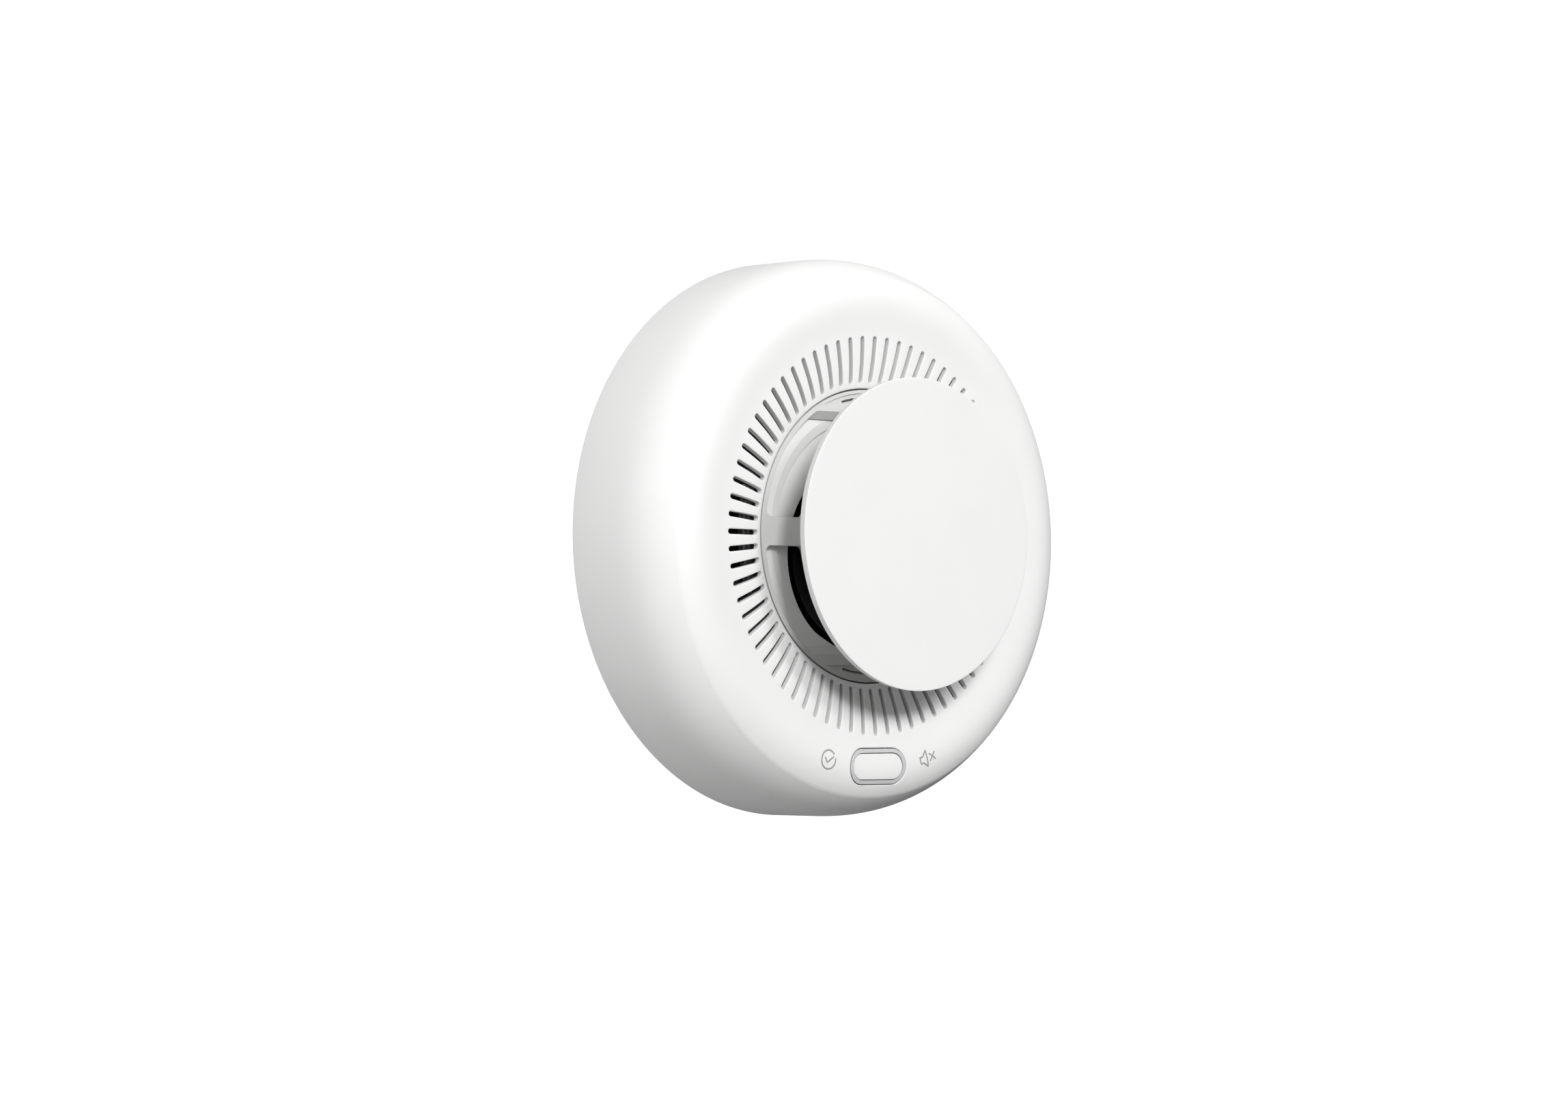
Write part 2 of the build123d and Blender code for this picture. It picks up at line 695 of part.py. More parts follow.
# Battery and its two welded tabs
with BuildPart() as battery:
    with BuildSketch(across(-(battery_l + battery_nub_l) / 2)):
        with Locations((battery_z, battery_d)):
            Circle(battery_r)
    extrude(amount=battery_l)
    with BuildSketch(across((battery_l - battery_nub_l) / 2)):
        with Locations((battery_z, battery_d)):
            Circle(battery_nub_r)
    extrude(amount=battery_nub_l)
save(battery, "battery")
with BuildPart() as battery_tabs:
    for side in (-1, 1):
        tab_x = side * ((battery_l + battery_nub_l) / 2 + tab_t / 2)
        foot_x = side * (bay_half + tab_foot / 2)
        with BuildSketch(at(board_d)):
            with Locations(((tab_x + foot_x + side * (tab_foot - tab_t) / 2) / 2, bay_z + tab_w / 2)):
                Rectangle(abs(foot_x + side * tab_foot / 2 - tab_x) + tab_t / 2, tab_w)
        extrude(amount=tab_t)
        with BuildSketch(at(board_d)):
            with Locations((tab_x, battery_z - tab_w / 2)):
                Rectangle(tab_t, tab_w + 2 * (battery_z - tab_w / 2 - bay_z - tab_w / 2))
        extrude(amount=battery_d - board_d)
save(battery_tabs, "battery_tabs")

# Light ring around the button, with two legs down to the indicator lamps
with BuildPart() as light_ring:
    with BuildSketch(at(ring_back_d)):
        with Locations(button_place):
            SlotOverall(opening_w - 2 * seat_gap, opening_h - 2 * seat_gap)
    extrude(amount=crest_d - ring_back_d + wall)
    add(under_surface.part, mode=Mode.INTERSECT)
    with BuildSketch(at(ring_back_d)):
        with Locations(button_place):
            SlotOverall(ring_flange_w, ring_flange_h)
    extrude(amount=ring_flange_t)
    with BuildSketch(at(board_d + led_h + free_gap)):
        with Locations((-leg_x, -button_r), (leg_x, -button_r)):
            Rectangle(leg_w, leg_h)
    extrude(amount=ring_back_d + ring_flange_t - board_d - led_h - free_gap)
    with BuildSketch(at(ring_back_d)):
        with Locations(button_place):
            SlotOverall(button_w + 2 * seat_gap, button_h + 2 * seat_gap)
    extrude(amount=crest_d - ring_back_d, mode=Mode.SUBTRACT)
save(light_ring, "light_ring")

with BuildPart() as status_leds:
    with BuildSketch(at(board_d)):
        with Locations((-leg_x, -button_r), (leg_x, -button_r)):
            Rectangle(led_w, led_l)
    extrude(amount=led_h)
save(status_leds, "status_leds")

# Button: face, retaining flange under the ring, and the stem that pushes the switch
with BuildPart() as button_cap:
    with BuildSketch(at(button_flange_d - button_flange_t)):
        with Locations(button_place):
            SlotOverall(button_w, button_h)
    extrude(amount=crest_d - button_flange_d + button_flange_t + wall)
    add(under_surface.part.moved(Location((0, button_sink, 0))), mode=Mode.INTERSECT)
    with BuildSketch(at(button_flange_d - button_flange_t)):
        with Locations(button_place):
            Rectangle(button_w, button_flange_h)
    extrude(amount=button_flange_t)
    with BuildSketch(at(stem_end_d)):
        with Locations(button_place):
            Circle(stem_r)
    extrude(amount=button_flange_d - stem_end_d)
save(button_cap, "button_cap")

# Switch under the button
with BuildPart() as switch_body:
    with BuildSketch(at(board_d)):
        with Locations(button_place):
            Rectangle(switch_w, switch_w)
    extrude(amount=switch_h)
    with BuildSketch(at(board_d + switch_h - plunger_in - plunger_room)):
        with Locations(button_place):
            Circle(plunger_r + snug)
    extrude(amount=plunger_in + plunger_room, mode=Mode.SUBTRACT)
save(switch_body, "switch_body")
with BuildPart() as switch_plunger:
    with BuildSketch(at(board_d + switch_h - plunger_in)):
        with Locations(button_place):
            Circle(plunger_r)
    extrude(amount=plunger_in + plunger_out)
save(switch_plunger, "switch_plunger")

# Other parts on the board
with BuildPart() as microcontroller:
    with BuildSketch(at(board_d)):
        with Locations((mcu_x, mcu_z)):
            Rectangle(mcu_w, mcu_w)
    extrude(amount=mcu_h)
save(microcontroller, "microcontroller")
with BuildPart() as capacitor:
    with BuildSketch(at(board_d)):
        with Locations((capacitor_x, capacitor_z)):
            Circle(capacitor_r)
    extrude(amount=capacitor_h)
save(capacitor, "capacitor")
with BuildPart() as drive_inductor:
    with BuildSketch(turned(inductor_x, inductor_z)):
        with BuildLine():
            low_d = board_d + inductor_flange
            high_d = board_d + inductor_h - inductor_flange
            waist_r = inductor_r - inductor_groove
            Polyline((0, board_d), (inductor_r, board_d), (inductor_r, low_d), (waist_r, low_d),
                     (waist_r, high_d), (inductor_r, high_d), (inductor_r, board_d + inductor_h),
                     (0, board_d + inductor_h), close=True)
        make_face()
    revolve(axis=axis_at(inductor_x, inductor_z))
save(drive_inductor, "drive_inductor")
with BuildPart() as amplifier_shield:
    with BuildSketch(at(board_d)):
        with Locations((shield_x, shield_z)):
            Rectangle(shield_w, shield_l)
    extrude(amount=shield_h)
    with BuildSketch(at(board_d)):
        with Locations((shield_x, shield_z)):
            Rectangle(shield_w - 2 * shield_t, shield_l - 2 * shield_t)
    extrude(amount=shield_h - shield_t, mode=Mode.SUBTRACT)
save(amplifier_shield, "amplifier_shield")
with BuildPart() as surface_parts:
    with BuildSketch(at(board_d)):
        with Locations(*chip_places):
            Rectangle(chip_l, chip_w)
    extrude(amount=chip_h)
save(surface_parts, "surface_parts")

# Screws: those through the rear cover into the bosses, and those that hold the board
with BuildPart() as case_screws:
    head_front_d = rear_back_d + screw_head_sink
    with BuildSketch(at(head_front_d - screw_head_h)):
        with Locations(*case_screw_places):
            Circle(screw_head_r)
    extrude(amount=screw_head_h)
    with BuildSketch(at(head_front_d)):
        with Locations(*case_screw_places):
            Circle(screw_r)
    extrude(amount=rear_front_d + screw_grip - head_front_d)
    with BuildSketch(at(head_front_d - screw_head_h)):
        with Locations(*case_screw_places):
            Rectangle(recess_l, recess_w)
            Rectangle(recess_w, recess_l)
    extrude(amount=recess_h, mode=Mode.SUBTRACT)
save(case_screws, "case_screws")
with BuildPart() as board_screws:
    with BuildSketch(at(board_d)):
        with Locations(*board_screw_places):
            Circle(board_head_r)
    extrude(amount=board_head_h)
    with BuildSketch(at(rear_back_d + rear_t / 2 + free_gap)):
        with Locations(*board_screw_places):
            Circle(screw_r)
    extrude(amount=board_d - rear_back_d - rear_t / 2 - free_gap)
    with BuildSketch(at(board_d + board_head_h - recess_h)):
        with Locations(*board_screw_places):
            Rectangle(recess_l, recess_w)
            Rectangle(recess_w, recess_l)
    extrude(amount=recess_h, mode=Mode.SUBTRACT)
save(board_screws, "board_screws")
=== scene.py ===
# Round carbon monoxide and smoke alarm, in metres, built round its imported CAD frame.
import bpy
import bmesh
import math
import numpy as np
from mathutils import Matrix


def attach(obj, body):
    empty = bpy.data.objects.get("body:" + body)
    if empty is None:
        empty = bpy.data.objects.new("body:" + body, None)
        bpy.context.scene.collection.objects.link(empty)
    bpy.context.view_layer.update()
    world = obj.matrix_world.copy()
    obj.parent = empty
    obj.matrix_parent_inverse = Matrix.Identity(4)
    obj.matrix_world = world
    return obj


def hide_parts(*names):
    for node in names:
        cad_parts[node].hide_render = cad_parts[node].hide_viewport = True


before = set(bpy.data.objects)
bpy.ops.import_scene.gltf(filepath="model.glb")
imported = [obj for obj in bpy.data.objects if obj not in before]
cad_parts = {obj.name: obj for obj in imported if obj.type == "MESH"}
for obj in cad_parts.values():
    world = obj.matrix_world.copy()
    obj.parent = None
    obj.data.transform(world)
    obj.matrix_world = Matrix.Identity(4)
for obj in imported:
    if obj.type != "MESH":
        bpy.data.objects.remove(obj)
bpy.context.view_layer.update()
mm = 0.001
print("frame loaded:", len(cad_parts), "nodes")

# What the whole front is drawn from, in millimetres; heights are distances from the wall
front = {
    "bodyR": 52.5, "backD": 3.0, "backRound": 0.6, "wall": 2.0,
    "creaseR": 48.8, "creaseD": 27.7, "creaseRound": 0.1, "sideHeight": 14.0, "sidePower": 2.8,
    "crestR": 43.5, "crestRise": 1.88,
    "holeR": 27.6, "holeRound": 0.22,
    "slotCount": 72, "slotInner": 28.6, "slotOuter": 37.3, "slotWidth": 1.0, "slotRound": 0.1,
    # a slot's wall below this depth takes the painted shade of the housing's inside
    "slotShade": 1.15,  # depth at which a slot's wall turns dark
    "dish": {"outerDrop": 0.66, "outerSlope": 0.09, "innerDrop": 2.18, "innerSlope": 0.30,
             "edgeSlope": 0.38},
    "innerRows": ((0.4, 18.0), (1.2, 22.5), (2.3, 25.2)),  # inside wall: how far in, and its height
    "steps": 432,
}
crestD = front["creaseD"] + front["crestRise"]
crestSpan = front["creaseR"] - front["crestR"]
crestArc = (crestSpan ** 2 + front["crestRise"] ** 2) / (2 * front["crestRise"])


# Shapes: profiles, grids and the mesh builder
def hermite(r, r0, d0, s0, r1, d1, s1):  # cubic between two radii with given heights and slopes
    t = (r - r0) / (r1 - r0)
    span = r1 - r0
    return ((2 * t ** 3 - 3 * t ** 2 + 1) * d0 + (t ** 3 - 2 * t ** 2 + t) * span * s0
            + (3 * t ** 2 - 2 * t ** 3) * d1 + (t ** 3 - t ** 2) * span * s1)


def frontHeight(r):  # dish in two cubics up to the crest, then a circular arc down to the crease
    r = np.asarray(r, float)
    dish = front["dish"]
    so, si = front["slotOuter"], front["slotInner"]
    high = hermite(r, so, crestD - dish["outerDrop"], dish["outerSlope"], front["crestR"], crestD, 0)
    low = hermite(r, si, crestD - dish["innerDrop"], dish["innerSlope"],
                  so, crestD - dish["outerDrop"], dish["outerSlope"])
    edge = crestD - dish["innerDrop"] + (r - si) * dish["edgeSlope"]
    arc = crestD - crestArc + np.sqrt(np.maximum(crestArc ** 2 - (r - front["crestR"]) ** 2, 0))
    return np.where(r > front["crestR"], arc, np.where(r > so, high, np.where(r > si, low, edge)))


def underHeight(r):  # the same surface one wall thickness lower, its outer arc with a smaller radius
    r = np.asarray(r, float)
    small = crestArc - front["wall"]
    arc = crestD - crestArc + np.sqrt(np.maximum(small ** 2 - (r - front["crestR"]) ** 2, 0))
    return np.where(r > front["crestR"], arc, frontHeight(r) - front["wall"])


def sideRadius(below):  # radius of the side wall at a depth below the crease: power curve, then straight
    part = np.clip(1 - np.asarray(below, float) / front["sideHeight"], 0, 1)
    return front["bodyR"] - (front["bodyR"] - front["creaseR"]) * part ** front["sidePower"]


def place(x, z, d):  # face-on millimetres and distance from the wall, to metres
    x, z, d = np.broadcast_arrays(x, z, d)
    return np.stack([x, -d, z], -1).reshape(-1, 3) * mm


def grid(rows, columns, closed):  # quads of a grid of points; closed joins the last column to the first
    i = np.arange(rows - 1)[:, None] * columns
    j = np.arange(columns if closed else columns - 1)[None, :]
    k = (j + 1) % columns
    return np.stack([i + j, i + k, i + columns + k, i + columns + j], -1).reshape(-1, 4)


def lathe(profile, angles, closed=True, x=0, z=0):  # profile rows of radius and height, turned
    profile = np.asarray(profile, float)
    r, d = profile[:, :1], profile[:, 1:2]
    return place(x + r * np.cos(angles), z + r * np.sin(angles), d + 0 * angles), \
        grid(len(profile), len(angles), closed)


def loops(rings):  # rings of x, z, d points of equal count, joined row to row into a closed band
    rings = np.asarray(rings, float)
    return place(rings[..., 0], rings[..., 1], rings[..., 2]), grid(len(rings), rings.shape[1], True)


def stadium(length, width, ends, sides, grow=0):  # outline of a slot, from its left end, anticlockwise
    radius = width / 2 + grow
    reach = (length - width) / 2
    turn = np.linspace(-np.pi / 2, np.pi / 2, ends + 1)
    run = np.linspace(-reach, reach, sides + 1)[1:-1]
    right = np.stack([reach + radius * np.cos(turn), radius * np.sin(turn)], -1)
    top = np.stack([-run, radius + 0 * run], -1)
    return np.concatenate([right, top, -right, -top])


def rounding(steps):  # share of a fillet's offset and drop, from its wall to its face
    turn = np.linspace(0, np.pi / 2, steps + 1)
    return list(zip(1 - np.cos(turn), 1 - np.sin(turn)))


def build(name, parts, body, material, replaced=(), sharp=35, weld=0.002):
    # joins point and face arrays into one welded mesh with outward normals, and places it
    verts, faces, count = [], [], 0
    for points, quads in parts:
        verts.append(points)
        faces.append(quads + count)
        count += len(points)
    verts, faces = np.concatenate(verts), np.concatenate(faces)
    mesh = bpy.data.meshes.new(name)
    mesh.vertices.add(len(verts))
    mesh.vertices.foreach_set("co", verts.ravel())
    mesh.loops.add(faces.size)
    mesh.loops.foreach_set("vertex_index", faces.ravel().astype(np.int32))
    mesh.polygons.add(len(faces))
    mesh.polygons.foreach_set("loop_start", np.arange(0, faces.size, 4, dtype=np.int32))
    mesh.update(calc_edges=True)
    work = bmesh.new()
    work.from_mesh(mesh)
    bmesh.ops.remove_doubles(work, verts=work.verts, dist=weld * mm)
    bmesh.ops.dissolve_degenerate(work, edges=work.edges, dist=weld * mm / 10)
    bmesh.ops.recalc_face_normals(work, faces=work.faces)
    work.to_mesh(mesh)
    work.free()
    mesh.polygons.foreach_set("use_smooth", np.ones(len(mesh.polygons), bool))
    mesh.set_sharp_from_angle(angle=math.radians(sharp))
    mesh.materials.append(material)
    piece = bpy.data.objects.new(name, mesh)
    bpy.context.scene.collection.objects.link(piece)
    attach(piece, body)
    if replaced:
        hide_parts(*replaced)
    return piece


def faceMiddles(piece):  # distance from the axis and from the wall of each face's middle, in millimetres
    middles = np.empty(len(piece.data.polygons) * 3)
    piece.data.polygons.foreach_get("center", middles)
    middles = middles.reshape(-1, 3) / mm
    return np.hypot(middles[:, 0], middles[:, 2]), -middles[:, 1]


def repaint(piece, material, chosen):  # a second material on the chosen faces
    piece.data.materials.append(material)
    piece.data.polygons.foreach_set("material_index", chosen.astype(np.int32))


# Materials, all on object coordinates
def newMaterial(name):  # a node material, its tree and its main shader
    material = bpy.data.materials.new(name)
    material.use_nodes = True
    tree = material.node_tree
    return material, tree, tree.nodes["Principled BSDF"]


def noise(tree, scale, detail=3.0, roughness=0.5):  # noise on object coordinates, scale per metre
    where = tree.nodes.get("Where") or tree.nodes.new("ShaderNodeTexCoord")
    where.name = "Where"
    texture = tree.nodes.new("ShaderNodeTexNoise")
    texture.inputs["Scale"].default_value = scale
    texture.inputs["Detail"].default_value = detail
    texture.inputs["Roughness"].default_value = roughness
    tree.links.new(where.outputs["Object"], texture.inputs["Vector"])
    return texture.outputs["Fac"]


def ramp(tree, value, stops):  # colour ramp with (position, colour) stops
    node = tree.nodes.new("ShaderNodeValToRGB")
    node.color_ramp.elements[0].position, node.color_ramp.elements[0].color = stops[0]
    node.color_ramp.elements[1].position, node.color_ramp.elements[1].color = stops[-1]
    for position, colour in stops[1:-1]:
        node.color_ramp.elements.new(position).color = colour
    tree.links.new(value, node.inputs["Fac"])
    return node.outputs["Color"]


def tone(colour, factor):  # colour times a factor, at most 1, opaque
    return tuple(min(1.0, c * factor) for c in colour[:3]) + (1.0,)


skin = {"cloudScale": 90, "glossScale": 400, "glossSpread": 0.1, "grainHeight": 0.0002, "index": 1.48,
        "shine": 0.25, "edge": 0.00012, "edgeSamples": 6}


def moulded(name, colour, rough=0.42, cloud=0.012, grain=9000, depth=0.03, coat=0.0):
    # moulded plastic: faint clouding of the colour and of the gloss, a fine grain, and softened edges
    material, tree, shader = newMaterial(name)
    tint = ramp(tree, noise(tree, skin["cloudScale"], 4),
                [(0.3, tone(colour, 1 - cloud)), (0.7, tone(colour, 1 + cloud))])
    tree.links.new(tint, shader.inputs["Base Color"])
    grey = (rough,) * 3
    gloss = ramp(tree, noise(tree, skin["glossScale"], 3),
                 [(0.3, tone(grey, 1 - skin["glossSpread"])), (0.7, tone(grey, 1 + skin["glossSpread"]))])
    tree.links.new(gloss, shader.inputs["Roughness"])
    bump = tree.nodes.new("ShaderNodeBump")
    bump.inputs["Strength"].default_value = depth
    bump.inputs["Distance"].default_value = skin["grainHeight"]
    tree.links.new(noise(tree, grain, 2), bump.inputs["Height"])
    tree.links.new(bump.outputs["Normal"], shader.inputs["Normal"])
    shader.inputs["IOR"].default_value = skin["index"]
    shader.inputs["Specular IOR Level"].default_value = skin["shine"]
    shader.inputs["Coat Weight"].default_value = coat
    edge = tree.nodes.new("ShaderNodeBevel")
    edge.samples = skin["edgeSamples"]
    edge.inputs["Radius"].default_value = skin["edge"]
    tree.links.new(edge.outputs["Normal"], bump.inputs["Normal"])
    return material


drawn = {"across": 3000, "along": 300, "dark": 0.88, "light": 1.08, "glossSpread": 0.25}


def metal(name, colour, rough=0.3):  # drawn or plated metal with fine streaks along Y
    material, tree, shader = newMaterial(name)
    where = tree.nodes.new("ShaderNodeTexCoord")
    mapping = tree.nodes.new("ShaderNodeMapping")
    mapping.inputs["Scale"].default_value = (drawn["across"], drawn["along"], drawn["across"])
    texture = tree.nodes.new("ShaderNodeTexNoise")
    texture.inputs["Scale"].default_value = 1.0
    texture.inputs["Detail"].default_value = 3
    tree.links.new(where.outputs["Object"], mapping.inputs["Vector"])
    tree.links.new(mapping.outputs["Vector"], texture.inputs["Vector"])
    tint = ramp(tree, texture.outputs["Fac"],
                [(0.3, tone(colour, drawn["dark"])), (0.7, tone(colour, drawn["light"]))])
    tree.links.new(tint, shader.inputs["Base Color"])
    grey = (rough,) * 3
    gloss = ramp(tree, texture.outputs["Fac"],
                 [(0.2, tone(grey, 1 - drawn["glossSpread"])), (0.8, tone(grey, 1 + drawn["glossSpread"]))])
    tree.links.new(gloss, shader.inputs["Roughness"])
    shader.inputs["Metallic"].default_value = 1.0
    return material


white = (0.86, 0.86, 0.855, 1)
finish = {
    "housing": moulded("housingPlastic", white, 0.45, 0.008, 7000, 0.05),
    # painted shade: a grey copy of the white plastic for the inlet frame and the cap's column, which stand
    # in the cap's shade
    "frame": moulded("framePaintedShade", (0.62, 0.62, 0.615, 1), 0.42, 0.01, 7000, 0.04),
    "cap": moulded("capPlastic", white, 0.5, 0.008, 5200, 0.10),
    # painted shade: a grey copy of the cap's white plastic, for the side of its rim
    "capRim": moulded("capRimPaintedShade", (0.66, 0.66, 0.655, 1), 0.5, 0.008, 5200, 0.10),
    "guide": moulded("guidePlastic", (0.80, 0.80, 0.79, 1), 0.45, 0.02, 7000, 0.06),
    # painted shade: near-black for the housing's inside faces, which are white plastic in deep shade
    "inside": moulded("housingInsidePaintedShade", (0.07, 0.07, 0.07, 1), 0.7, 0.03),
    "button": moulded("buttonPlastic", white, 0.42, 0.008, 7000, 0.05),
    "ring": moulded("ringPlastic", (0.6, 0.6, 0.6, 1), 0.3, 0.015),
    "print": moulded("printedGrey", (0.36, 0.36, 0.36, 1), 0.5, 0.02),
    "rear": moulded("rearPlastic", (0.80, 0.80, 0.79, 1), 0.5, 0.015, 6000, 0.08),
    "bracket": moulded("bracketPlastic", (0.82, 0.82, 0.81, 1), 0.5, 0.015, 6000, 0.08),
    "black": moulded("chamberBlack", (0.012, 0.012, 0.013, 1), 0.6, 0.2, 8000, 0.2),
    "board": moulded("boardLaminate", (0.02, 0.13, 0.06, 1), 0.3, 0.12, 1500, 0.1, 0.3),
    "cell": moulded("cellPlastic", (0.62, 0.62, 0.58, 1), 0.45, 0.02),
    "dark": moulded("darkPlastic", (0.03, 0.03, 0.032, 1), 0.45, 0.1),
    "chip": moulded("chipResin", (0.02, 0.02, 0.022, 1), 0.55, 0.15, 12000, 0.3),
    "ferrite": moulded("ferriteCore", (0.06, 0.06, 0.065, 1), 0.5, 0.2, 9000, 0.2),
    "clear": moulded("clearResin", (0.65, 0.68, 0.72, 1), 0.12, 0.02),
    "lamp": moulded("lampResin", (0.75, 0.76, 0.70, 1), 0.2, 0.02),
    "sleeve": moulded("batterySleeve", (0.10, 0.13, 0.17, 1), 0.35, 0.03, 3000, 0.04, 0.2),
    "steel": metal("platedSteel", (0.62, 0.62, 0.64, 1), 0.3),
    "tin": metal("tinnedSheet", (0.68, 0.68, 0.67, 1), 0.28),
    "brass": metal("rolledBrass", (0.75, 0.55, 0.25, 1), 0.3),
    "mesh": metal("blackenedSteel", (0.05, 0.05, 0.055, 1), 0.45),
    "can": metal("aluminiumCan", (0.70, 0.70, 0.72, 1), 0.32),
}
nodeFinish = {
    "mounting_bracket": "bracket", "rear_cover": "rear", "front_cover": "housing",
    "inlet_frame": "frame", "inlet_cap": "cap", "smoke_guide": "guide", "chamber_base": "black",
    "chamber_cover": "black", "insect_screen": "mesh", "ir_emitter": "clear", "photodiode": "dark",
    "circuit_board": "board", "co_cell": "cell", "co_cell_cap": "steel", "co_cell_pins": "tin",
    "sounder_housing": "dark", "sounder_disc": "brass", "sounder_pins": "tin", "battery": "sleeve",
    "battery_tabs": "tin", "light_ring": "ring", "status_leds": "lamp", "button_cap": "button",
    "switch_body": "dark", "switch_plunger": "cell", "microcontroller": "chip",
    "capacitor": "can", "drive_inductor": "ferrite", "amplifier_shield": "tin",
    "surface_parts": "chip", "case_screws": "steel", "board_screws": "steel",
    "cap_column": "frame",
}
for node, key in nodeFinish.items():
    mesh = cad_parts[node].data
    mesh.materials.clear()
    mesh.materials.append(finish[key])
print("materials made:", len(finish))

# Housing: dished front with its slots, crease, side wall and inside
band = {"inner": 28.0, "outer": 38.0, "arcSteps": 6, "sideSteps": 12}
buttonHole = {"r": 43.0, "length": 14.6, "width": 6.9, "round": 0.18, "outer": 46.9, "half": 15,
              "rows": 12, "ends": 16}
angles = np.arange(front["steps"]) * 2 * np.pi / front["steps"]


def onFront(points, drop, under=False):  # points of the face-on plane set at the front's height less a drop
    radius = np.hypot(points[:, 0], points[:, 1])
    return np.column_stack([points, (underHeight if under else frontHeight)(radius) - drop])


def slotSector():  # one vent slot in its sector: rings from the underside, up the wall, over the fillet
    half = np.pi / front["slotCount"]
    low, high = band["inner"], band["outer"]
    across = np.linspace(-half, half, band["arcSteps"] + 1)
    along = np.linspace(low, high, band["sideSteps"] + 1)[1:-1]
    r = np.concatenate([high + 0 * across, along[::-1], low + 0 * across, along])
    a = np.concatenate([across, half + 0 * along, across[::-1], -half + 0 * along])
    rim = np.stack([r * np.cos(a), r * np.sin(a)], -1)
    middle = (front["slotInner"] + front["slotOuter"]) / 2
    length = front["slotOuter"] - front["slotInner"]

    def outline(grow):  # the opening, grown by a width and set in its place
        points = stadium(length, front["slotWidth"], band["arcSteps"], band["sideSteps"], grow)
        return points + np.array([middle, 0])

    rings = [onFront(rim, 0, True), onFront(outline(0), 0, True), onFront(outline(0), front["slotShade"])]
    for out, drop in rounding(3):
        rings.append(onFront(outline(front["slotRound"] * out), front["slotRound"] * drop))
    first = outline(front["slotRound"])
    rings.append(onFront(first * 0.5 + rim * 0.5, 0))
    rings.append(onFront(rim, 0))
    return np.asarray(rings)


def slotBand():  # the sector turned once for each slot
    sector = slotSector()
    parts = []
    for index in range(front["slotCount"]):
        a = index * 2 * np.pi / front["slotCount"]
        turned = sector.copy()
        turned[..., 0] = sector[..., 0] * np.cos(a) - sector[..., 1] * np.sin(a)
        turned[..., 1] = sector[..., 0] * np.sin(a) + sector[..., 1] * np.cos(a)
        parts.append(loops(turned))
    return parts


def buttonPatch():  # the stretch of the front round the button's opening
    half = buttonHole["half"] * 2 * np.pi / front["steps"]
    low, high = band["outer"], buttonHole["outer"]
    across = np.linspace(-half, half, 2 * buttonHole["half"] + 1)
    along = np.linspace(low, high, buttonHole["rows"] + 1)[1:-1]
    r = np.concatenate([along, high + 0 * across, along[::-1], low + 0 * across])
    a = np.concatenate([half + 0 * along, across[::-1], -half + 0 * along, across]) - np.pi / 2
    rim = np.stack([r * np.cos(a), r * np.sin(a)], -1)
    ends = buttonHole["ends"]
    sides = buttonHole["rows"] + 2 * buttonHole["half"] - ends

    def outline(grow):  # the opening, grown by a width and set in its place
        points = stadium(buttonHole["length"], buttonHole["width"], ends, sides, grow)
        return points + np.array([0, -buttonHole["r"]])

    aim = outline(0)
    turns = [np.sum((np.roll(rim[::way], -k, 0) - aim) ** 2) for way in (1, -1) for k in range(len(rim))]
    best = int(np.argmin(turns))
    rim = np.roll(rim[::(1, -1)[best // len(rim)]], -(best % len(rim)), 0)

    rings = [onFront(rim, 0, True), onFront(outline(0), 0, True)]
    for out, drop in rounding(4):
        rings.append(onFront(outline(buttonHole["round"] * out), buttonHole["round"] * drop))
    first = outline(buttonHole["round"])
    for share in (0.12, 0.3, 0.55, 1.0):
        rings.append(onFront(first * (1 - share) + rim * share, 0))
    return loops(rings)


def plainBand():  # the front between the slots and the button's outer radius, away from the button
    start = front["steps"] * 3 // 4 + buttonHole["half"]
    turns = (start + np.arange(front["steps"] - 2 * buttonHole["half"] + 1)) * 2 * np.pi / front["steps"]
    r = np.linspace(band["outer"], buttonHole["outer"], buttonHole["rows"] + 1)
    upper = lathe(np.column_stack([r, frontHeight(r)]), turns, False)
    lower = lathe(np.column_stack([r, underHeight(r)]), turns, False)
    return [upper, lower]


def rimProfile():  # from the slots over the rounded hole edge, down its wall and back underneath
    r0, rho, wall = front["holeR"], front["holeRound"], front["wall"]
    rows = [(band["inner"], frontHeight(band["inner"]))]
    for out, drop in rounding(4)[::-1]:
        rows.append((r0 + rho * out, frontHeight(r0 + rho * out) - rho * drop))
    rows.append((r0, underHeight(r0)))
    rows.append((band["inner"], underHeight(band["inner"])))
    return rows


def sideProfile():  # outer slope, crease, side wall, back edge, and the inside back up
    r = np.linspace(buttonHole["outer"], front["creaseR"] - front["creaseRound"], 9)
    rows = list(zip(r, frontHeight(r)))
    below = np.linspace(0, 1, 25)[1:] ** 1.3 * front["sideHeight"]  # rows lie closer near the crease
    below = np.concatenate([[front["creaseRound"]], below])
    corner = 0.25 * front["creaseRound"]  # how far the rounded crease stays inside its sharp corner
    rows.append((front["creaseR"] - corner, front["creaseD"] - corner))
    rows += list(zip(sideRadius(below), front["creaseD"] - below))
    back, edge = front["backD"], front["backRound"]
    for turn in np.linspace(0, np.pi / 2, 6):
        rows.append((front["bodyR"] - edge * (1 - math.cos(turn)), back + edge * (1 - math.sin(turn))))
    inside = front["bodyR"] - front["wall"]
    rows += [(inside, back), (inside, front["creaseD"] - front["sideHeight"])]
    rows += [(inside - step, height) for step, height in front["innerRows"]]
    rows.append((buttonHole["outer"], underHeight(buttonHole["outer"])))
    return rows


housing = build("housing", slotBand() + [buttonPatch()] + plainBand()
                + [lathe(rimProfile(), angles), lathe(sideProfile(), angles)],
                "detector", finish["housing"], ["front_cover"])
